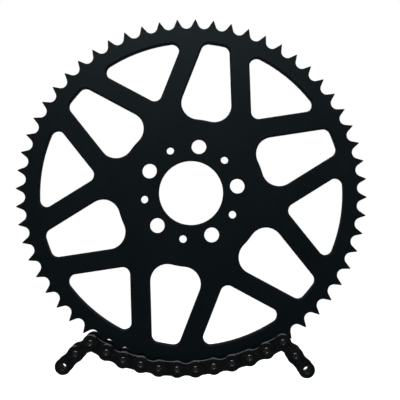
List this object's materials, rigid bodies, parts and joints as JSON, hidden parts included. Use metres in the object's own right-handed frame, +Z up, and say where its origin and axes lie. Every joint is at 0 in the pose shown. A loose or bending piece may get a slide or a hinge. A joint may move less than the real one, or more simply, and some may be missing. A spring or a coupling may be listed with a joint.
{
  "type": "motorcycle rear sprocket with chain section",
  "caption": "Flat chainring-style rear sprocket with large lightening windows, a round hub bore and a ring of bolt holes, with a short open length of roller chain on its lower teeth.",
  "frame": {"origin": "centre of the hub bore, in the middle of the plate's thickness", "axes": "+Y along the bore axis from the outer face towards the wheel hub, +Z up with the chain section at the bottom, +X to the right seen from the outer face"},
  "size_m": [0.2476, 0.016, 0.2539],
  "materials": {
    "anodised_plate": "black anodised, satin",
    "chain_plate": "black oxide, oiled",
    "chain_pin": "black oxide with worn, bright riveted heads",
    "chain_roller": "dark polished hardened steel",
    "chain_bush": "dark hardened steel"
  },
  "bodies": {
    "sprocket": {"sprocket": "anodised_plate"},
    "link_01": {"link_01_inner_plates": "chain_plate", "link_01_bushes": "chain_bush"},
    "link_02": {"link_02_outer_plate_front": "chain_plate", "link_02_outer_plate_back": "chain_plate", "link_02_pins": "chain_pin"},
    "link_03": {"link_03_inner_plates": "chain_plate", "link_03_bushes": "chain_bush"},
    "link_04": {"link_04_outer_plate_front": "chain_plate", "link_04_outer_plate_back": "chain_plate", "link_04_pins": "chain_pin"},
    "link_05": {"link_05_inner_plates": "chain_plate", "link_05_bushes": "chain_bush"},
    "link_06": {"link_06_outer_plate_front": "chain_plate", "link_06_outer_plate_back": "chain_plate", "link_06_pins": "chain_pin"},
    "link_07": {"link_07_inner_plates": "chain_plate", "link_07_bushes": "chain_bush"},
    "link_08": {"link_08_outer_plate_front": "chain_plate", "link_08_outer_plate_back": "chain_plate", "link_08_pins": "chain_pin"},
    "link_09": {"link_09_inner_plates": "chain_plate", "link_09_bushes": "chain_bush"},
    "link_10": {"link_10_outer_plate_front": "chain_plate", "link_10_outer_plate_back": "chain_plate", "link_10_pins": "chain_pin"},
    "link_11": {"link_11_inner_plates": "chain_plate", "link_11_bushes": "chain_bush"},
    "link_12": {"link_12_outer_plate_front": "chain_plate", "link_12_outer_plate_back": "chain_plate", "link_12_pins": "chain_pin"},
    "link_13": {"link_13_inner_plates": "chain_plate", "link_13_bushes": "chain_bush"},
    "link_14": {"link_14_outer_plate_front": "chain_plate", "link_14_outer_plate_back": "chain_plate", "link_14_pins": "chain_pin"},
    "link_15": {"link_15_inner_plates": "chain_plate", "link_15_bushes": "chain_bush"},
    "roller_01": {"roller_01": "chain_roller"},
    "roller_02": {"roller_02": "chain_roller"},
    "roller_03": {"roller_03": "chain_roller"},
    "roller_04": {"roller_04": "chain_roller"},
    "roller_05": {"roller_05": "chain_roller"},
    "roller_06": {"roller_06": "chain_roller"},
    "roller_07": {"roller_07": "chain_roller"},
    "roller_08": {"roller_08": "chain_roller"},
    "roller_09": {"roller_09": "chain_roller"},
    "roller_10": {"roller_10": "chain_roller"},
    "roller_11": {"roller_11": "chain_roller"},
    "roller_12": {"roller_12": "chain_roller"},
    "roller_13": {"roller_13": "chain_roller"},
    "roller_14": {"roller_14": "chain_roller"},
    "roller_15": {"roller_15": "chain_roller"},
    "roller_16": {"roller_16": "chain_roller"}
  },
  "joints": [
    {"name": "chain_lift_off", "type": "slide", "parent": "sprocket", "child": "link_08", "axis": [0, 0, -1], "range_m": [0, 0.015]},
    {"name": "pin_09_bend", "type": "hinge", "parent": "link_08", "child": "link_09", "pos_m": [0.00126, 0, -0.12213], "axis": [0, 1, 0], "range_deg": [0, 20]},
    {"name": "pin_10_bend", "type": "hinge", "parent": "link_09", "child": "link_10", "pos_m": [0.01386, 0, -0.12054], "axis": [0, 1, 0], "range_deg": [0, 20]},
    {"name": "pin_11_bend", "type": "hinge", "parent": "link_10", "child": "link_11", "pos_m": [0.02638, 0, -0.11843], "axis": [0, 1, 0], "range_deg": [0, 20]},
    {"name": "pin_12_bend", "type": "hinge", "parent": "link_11", "child": "link_12", "pos_m": [0.03862, 0, -0.11502], "axis": [0, 1, 0], "range_deg": [0, 20]},
    {"name": "pin_13_bend", "type": "hinge", "parent": "link_12", "child": "link_13", "pos_m": [0.05043, 0, -0.11035], "axis": [0, 1, 0], "range_deg": [0, 20]},
    {"name": "pin_14_bend", "type": "hinge", "parent": "link_13", "child": "link_14", "pos_m": [0.06185, 0, -0.10479], "axis": [0, 1, 0], "range_deg": [-20, 20]},
    {"name": "pin_15_bend", "type": "hinge", "parent": "link_14", "child": "link_15", "pos_m": [0.07026, 0, -0.1143], "axis": [0, 1, 0], "range_deg": [-20, 20]},
    {"name": "pin_08_bend", "type": "hinge", "parent": "link_08", "child": "link_07", "pos_m": [-0.01144, 0, -0.12217], "axis": [0, -1, 0], "range_deg": [0, 20]},
    {"name": "pin_07_bend", "type": "hinge", "parent": "link_07", "child": "link_06", "pos_m": [-0.0241, 0, -0.12124], "axis": [0, -1, 0], "range_deg": [0, 20]},
    {"name": "pin_06_bend", "type": "hinge", "parent": "link_06", "child": "link_05", "pos_m": [-0.03649, 0, -0.11843], "axis": [0, -1, 0], "range_deg": [0, 20]},
    {"name": "pin_05_bend", "type": "hinge", "parent": "link_05", "child": "link_04", "pos_m": [-0.04874, 0, -0.1151], "axis": [0, -1, 0], "range_deg": [0, 20]},
    {"name": "pin_04_bend", "type": "hinge", "parent": "link_04", "child": "link_03", "pos_m": [-0.06024, 0, -0.10969], "axis": [0, -1, 0], "range_deg": [0, 20]},
    {"name": "pin_03_bend", "type": "hinge", "parent": "link_03", "child": "link_02", "pos_m": [-0.07114, 0, -0.10319], "axis": [0, -1, 0], "range_deg": [-20, 20]},
    {"name": "pin_02_bend", "type": "hinge", "parent": "link_02", "child": "link_01", "pos_m": [-0.08155, 0, -0.11047], "axis": [0, -1, 0], "range_deg": [-20, 20]},
    {"name": "roller_01_spin", "type": "hinge", "parent": "link_01", "child": "roller_01", "pos_m": [-0.09068, 0, -0.1193], "axis": [0, 1, 0], "continuous": true},
    {"name": "roller_02_spin", "type": "hinge", "parent": "link_01", "child": "roller_02", "pos_m": [-0.08155, 0, -0.11047], "axis": [0, 1, 0], "continuous": true},
    {"name": "roller_03_spin", "type": "hinge", "parent": "link_03", "child": "roller_03", "pos_m": [-0.07114, 0, -0.10319], "axis": [0, 1, 0], "continuous": true},
    {"name": "roller_04_spin", "type": "hinge", "parent": "link_03", "child": "roller_04", "pos_m": [-0.06024, 0, -0.10969], "axis": [0, 1, 0], "continuous": true},
    {"name": "roller_05_spin", "type": "hinge", "parent": "link_05", "child": "roller_05", "pos_m": [-0.04874, 0, -0.1151], "axis": [0, 1, 0], "continuous": true},
    {"name": "roller_06_spin", "type": "hinge", "parent": "link_05", "child": "roller_06", "pos_m": [-0.03649, 0, -0.11843], "axis": [0, 1, 0], "continuous": true},
    {"name": "roller_07_spin", "type": "hinge", "parent": "link_07", "child": "roller_07", "pos_m": [-0.0241, 0, -0.12124], "axis": [0, 1, 0], "continuous": true},
    {"name": "roller_08_spin", "type": "hinge", "parent": "link_07", "child": "roller_08", "pos_m": [-0.01144, 0, -0.12217], "axis": [0, 1, 0], "continuous": true},
    {"name": "roller_09_spin", "type": "hinge", "parent": "link_09", "child": "roller_09", "pos_m": [0.00126, 0, -0.12213], "axis": [0, 1, 0], "continuous": true},
    {"name": "roller_10_spin", "type": "hinge", "parent": "link_09", "child": "roller_10", "pos_m": [0.01386, 0, -0.12054], "axis": [0, 1, 0], "continuous": true},
    {"name": "roller_11_spin", "type": "hinge", "parent": "link_11", "child": "roller_11", "pos_m": [0.02638, 0, -0.11843], "axis": [0, 1, 0], "continuous": true},
    {"name": "roller_12_spin", "type": "hinge", "parent": "link_11", "child": "roller_12", "pos_m": [0.03862, 0, -0.11502], "axis": [0, 1, 0], "continuous": true},
    {"name": "roller_13_spin", "type": "hinge", "parent": "link_13", "child": "roller_13", "pos_m": [0.05043, 0, -0.11035], "axis": [0, 1, 0], "continuous": true},
    {"name": "roller_14_spin", "type": "hinge", "parent": "link_13", "child": "roller_14", "pos_m": [0.06185, 0, -0.10479], "axis": [0, 1, 0], "continuous": true},
    {"name": "roller_15_spin", "type": "hinge", "parent": "link_15", "child": "roller_15", "pos_m": [0.07026, 0, -0.1143], "axis": [0, 1, 0], "continuous": true},
    {"name": "roller_16_spin", "type": "hinge", "parent": "link_15", "child": "roller_16", "pos_m": [0.0781, 0, -0.12429], "axis": [0, 1, 0], "continuous": true}
  ]
}
